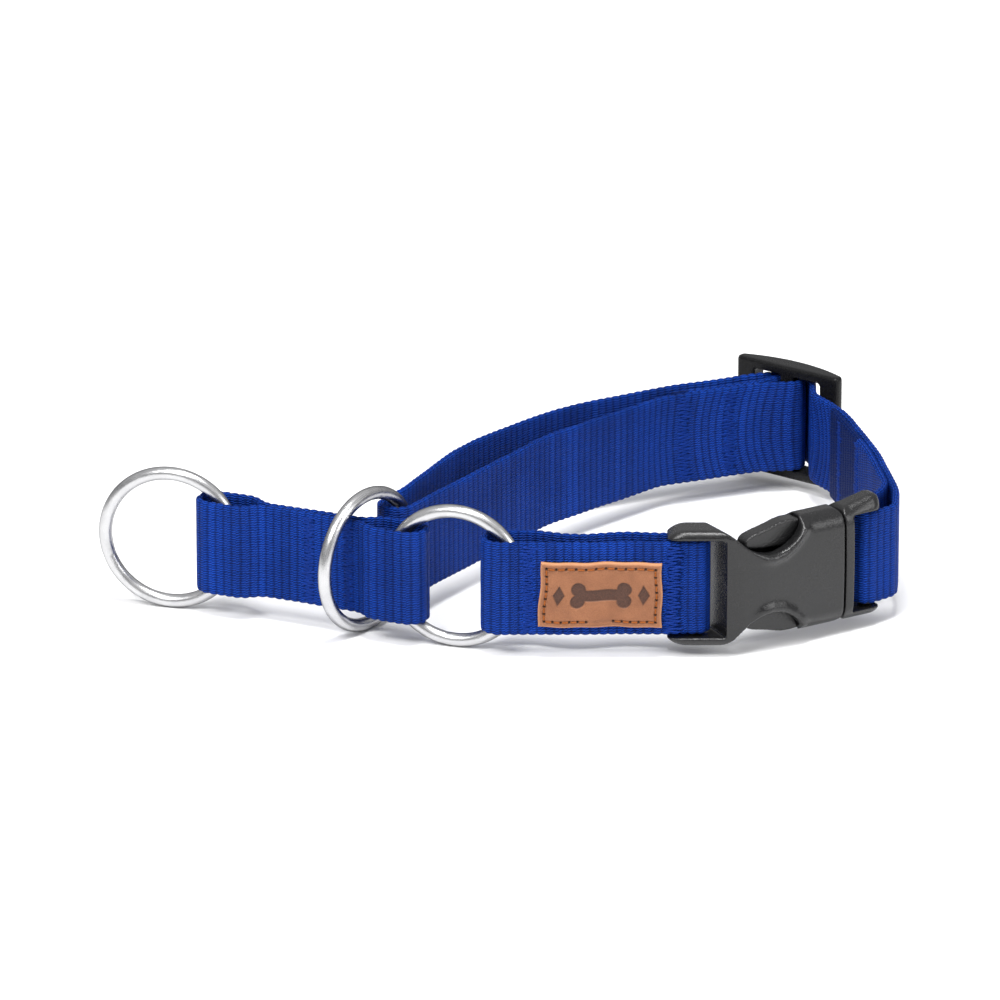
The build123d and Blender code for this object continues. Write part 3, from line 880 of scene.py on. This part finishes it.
def motif(u, w):
    """Distance outside a plain bone shape with a lozenge either side, in mm."""
    shaft_half, shaft_thick, knob_out, knob_up, knob_r = 5.4, 1.5, 5.8, 1.6, 1.85
    bone = np.maximum(np.abs(u) - shaft_half, np.abs(w) - shaft_thick)
    for x in (-knob_out, knob_out):
        for z in (-knob_up, knob_up):
            bone = np.minimum(bone, np.hypot(u - x, w - z) - knob_r)
    lozenge = (np.abs(np.abs(u) - 10.7) / 1.5 + np.abs(w) / 2.7 - 1) * 1.2
    return np.minimum(bone, lozenge)


def label():
    """The leather label: crowned edges, needle holes and a pressed motif, with its stitching."""
    nx, nz = LABEL_COLUMNS, LABEL_ROWS
    u, w = np.meshgrid(np.linspace(-1, 1, nx + 1) * LABEL_HALF_X, np.linspace(-1, 1, nz + 1) * LABEL_HALF_Z)
    u, w = u.ravel(), w.ravel()
    inside = np.minimum(LABEL_HALF_X - np.abs(u), LABEL_HALF_Z - np.abs(w))
    crown = CROWN_DEPTH * (1 - np.clip(inside / CROWN_WIDTH, 0, 1)) ** 2
    pressed = np.clip(0.5 - motif(u, w) / PRESS_BLUR, 0, 1)
    pressed = pressed * pressed * (3 - 2 * pressed)
    holes, pairs = label_holes()
    near = np.min([np.hypot(u - a, w - b) for a, b in holes], axis=0)
    hole = np.clip(1.6 - near / HOLE_R, 0, 1)
    groove = np.abs(inside - STITCH_INSET)
    groove = GROOVE_DEPTH * np.exp(-(groove / GROOVE_WIDTH) ** 2)
    grain = np.array([drift(1.0, a * 1.9, b * 1.9, 0.0) for a, b in zip(u, w)])
    slow = np.array([drift(1.0, a * 0.16, b * 0.22, 4.0) for a, b in zip(u, w)])
    depth = crown + PRESS_DEPTH * pressed + HOLE_DEPTH * hole + groove + 0.02 * grain + 0.08 * (slow + 0.6)
    x, z = label_outline(u, w)
    front = np.c_[LABEL_MID.x + x * MM, LABEL_LOW.y + np.maximum(depth, 0.0) * MM, LABEL_MID.z + z * MM]
    width = nx + 1
    border = list(range(nx)) + [nx + width * k for k in range(nz)]
    border += [nx - k + width * nz for k in range(nx)] + [width * (nz - k) for k in range(nz)]
    verts, faces = list(map(tuple, front)), []
    for i in range(nz):
        for j in range(nx):
            a = i * width + j
            faces.append((a, a + 1, a + 1 + width, a + width))
    rows = [border]
    for share in (0.55, 1.0):
        base = len(verts)
        for k in border:
            px, py, pz = front[k]
            verts.append((px, py + (LABEL_HIGH.y - py) * share, pz))
        rows.append(list(range(base, base + len(border))))
    for first, second in zip(rows, rows[1:]):
        for k in range(len(border)):
            n = (k + 1) % len(border)
            faces.append((first[n], first[k], second[k], second[n]))
    faces.append(tuple(rows[-1][::-1]))
    piece = add_mesh("leather_patch", verts, faces)
    rim = np.clip(1 - inside / RIM_WIDTH, 0, 1)
    marks = np.zeros((len(verts), 3), np.float32)
    marks[:len(front)] = np.c_[pressed, rim, hole]
    marks[len(front):, 1] = 1.0
    tag = piece.data.attributes.new("marks", "FLOAT_VECTOR", "POINT")
    tag.data.foreach_set("vector", marks.ravel())
    dress(piece, MATERIALS["leather"])
    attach(piece, "front")
    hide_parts("leather_label")

    paths = []
    for (u0, w0), (u1, w1) in pairs:
        path = []
        for k in range(9):
            t = 0.16 + 0.68 * k / 8
            x, z = label_outline(u0 + (u1 - u0) * t, w0 + (w1 - w0) * t)
            lift = 0.34 * sin(pi * t) ** 0.5 - 0.30
            path.append((LABEL_MID.x + x * MM, LABEL_LOW.y - lift * MM, LABEL_MID.z + z * MM))
        paths.append(path)
    stitches = threads("label_stitches", paths, STITCH_R * MM, "label thread")
    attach(stitches, "front")
    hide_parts("label_thread")


# Moulded pieces


def rim_distance(along, up):
    """Distance in the plane of the buckle from the line just outside a waist window, in mm."""
    made = np.full(len(along), np.inf)
    knots = [(u, BUCKLE_HALF - down - BEAD_OUT) for u, down in WINDOW_DEPTHS]
    for (u0, w0), (u1, w1) in zip(knots, knots[1:]):
        run = (u1 - u0) ** 2 + (w1 - w0) ** 2
        t = np.clip(((along - u0) * (u1 - u0) + (up - w0) * (w1 - w0)) / run, 0, 1)
        gap = np.hypot(along - u0 - t * (u1 - u0), up - w0 - t * (w1 - w0))
        made = np.minimum(made, gap)
    return made


def moulded(name, node, body, rounds, crown=0.0, rim=0.0, flare=0.0, material="plastic"):
    """A moulded plastic piece: the CAD shape with its edges rolled and its broad faces crowned.

    crown is how far the middle of a broad face stands out, rim how far the bead round a waist window
    does, and flare how far the ears rise at their ends, in mm.
    """
    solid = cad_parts[node]
    piece = bpy.data.objects.new(name, solid.data.copy())
    bpy.context.scene.collection.objects.link(piece)
    remesh = piece.modifiers.new("remesh", "REMESH")
    remesh.mode = "VOXEL"
    remesh.voxel_size = MOULD_VOXEL * MM
    smooth = piece.modifiers.new("smooth", "SMOOTH")
    smooth.factor = SMOOTHING
    smooth.iterations = rounds
    shaped = piece.evaluated_get(bpy.context.evaluated_depsgraph_get())
    mesh = bpy.data.meshes.new_from_object(shaped)
    piece.modifiers.clear()
    piece.data = mesh
    mesh.materials.clear()
    count = len(mesh.vertices)
    flat = np.empty(count * 3)
    mesh.vertices.foreach_get("co", flat)
    verts = flat.reshape(-1, 3)
    if crown:
        x = verts[:, 0] / MM - SHIFT_X - BUCKLE_ORIGIN[0]
        y = verts[:, 1] / MM - SHIFT_Y - BUCKLE_ORIGIN[1]
        c, s = turned(BUCKLE_DIR)
        along, out = c * x + s * y, -s * x + c * y
        up = verts[:, 2] / MM - BUCKLE_MID_Z
        share = np.clip((along - CROWN_START) / CROWN_EASE, 0, 1)
        share = share * share * (3 - 2 * share)
        swell = crown * share * (1 - (up / BUCKLE_HALF) ** 2) * (out / BUCKLE_HALF_THICK) ** 3
        roll = np.clip((np.abs(up) - BUCKLE_HALF + ROLL) / ROLL, 0, 1)
        swell -= ROLL_IN * out * share * roll ** 2
        bead = rim_distance(along, np.abs(up)) / BEAD_WIDTH
        swell += rim * share * np.exp(-bead ** 2) * np.clip(out / BUCKLE_HALF_THICK, -1, 1) ** 3
        verts[:, 0] -= s * swell * MM
        verts[:, 1] += c * swell * MM
        lift = np.clip((along - EAR_START) / EAR_LENGTH, 0, 1)
        lift *= np.clip((up - SLOT_HALF) / EAR_RISE, 0, 1)
        verts[:, 2] += flare * lift * MM
        mesh.vertices.foreach_set("co", verts.ravel())
    mesh.polygons.foreach_set("use_smooth", [True] * len(mesh.polygons))
    mesh.update()
    dress(piece, MATERIALS[material])
    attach(piece, body)
    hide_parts(node)


# The stage


def stage():
    """A pale floor, soft studio light and the camera."""
    low, high = CAD_BOX
    middle = (low + high) / 2
    sides = ((-1, -1), (1, -1), (1, 1), (-1, 1))
    corners = [(x * FLOOR_HALF, y * FLOOR_HALF, low.z) for x, y in sides]
    floor = add_mesh("floor", corners, [(0, 1, 2, 3)], smooth=False)
    floor.data.materials.append(floor_material())

    world = bpy.data.worlds.new("studio")
    bpy.context.scene.world = world
    world.use_nodes = True
    tree = world.node_tree
    back = tree.nodes["Background"]
    coord = tree.nodes.new("ShaderNodeTexCoord")
    split = tree.nodes.new("ShaderNodeSeparateXYZ")
    ramp = tree.nodes.new("ShaderNodeValToRGB")
    tree.links.new(coord.outputs["Generated"], split.inputs[0])
    tree.links.new(split.outputs["Z"], ramp.inputs["Fac"])
    tree.links.new(ramp.outputs["Color"], back.inputs["Color"])
    stops = ramp.color_ramp.elements
    stops[0].position, stops[0].color = 0.0, (0.34, 0.34, 0.35, 1)
    stops[1].position, stops[1].color = 0.7, (0.85, 0.85, 0.86, 1)
    back.inputs["Strength"].default_value = 0.85

    for name, place, size, power in (
        ("key", (-0.40, -0.65, 0.85), 0.40, 8.0),
        ("top", (0.05, -0.24, 1.05), 0.38, 9.5),
        ("fill", (0.80, -0.50, 0.45), 0.50, 3.0),
    ):
        data = bpy.data.lights.new(name, "AREA")
        data.shape = "DISK"
        data.size = size
        data.energy = power
        light = bpy.data.objects.new(name, data)
        light.location = middle + Vector(place)
        light.rotation_euler = (middle - light.location).to_track_quat("-Z", "Y").to_euler()
        bpy.context.scene.collection.objects.link(light)

    data = bpy.data.cameras.new("camera")
    data.lens = 350.0
    data.sensor_width = 36.0
    data.clip_end = 50.0
    camera = bpy.data.objects.new("camera", data)
    aim = middle + Vector(AIM_SHIFT)
    tilt = radians(CAMERA_TILT)
    reach = VIEW_WIDTH * data.lens / data.sensor_width
    back_way = Vector((0, -cos(tilt), sin(tilt)))
    camera.location = aim + back_way * reach
    camera.rotation_euler = (-back_way).to_track_quat("-Z", "Y").to_euler()
    bpy.context.scene.collection.objects.link(camera)
    bpy.context.scene.camera = camera
    bpy.context.scene.view_settings.view_transform = "Standard"


front_strap()
slide_strap()
back_strap()
bend_strap()
sewing()
ring("leash_steel_ring", "leash_ring", "leash_ring", LEASH_YAW, 200.0)
ring("stop_steel_ring", "stop_ring", "stop_ring", STOP_YAW, 262.0)
ring("guide_steel_ring", "guide_ring", "guide_ring", GUIDE_YAW, 75.0)
label()
moulded("socket_moulding", "buckle_socket", "front", 14, crown=0.5, rim=0.95)
moulded("plug_moulding", "buckle_plug", "buckle_plug", 8, crown=0.5, flare=1.5)
moulded("upper_prong_moulding", "upper_prong", "upper_prong", 14)
moulded("lower_prong_moulding", "lower_prong", "lower_prong", 14)
moulded("adjuster_moulding", "strap_adjuster", "adjuster", 8, material="adjuster plastic")
stage()
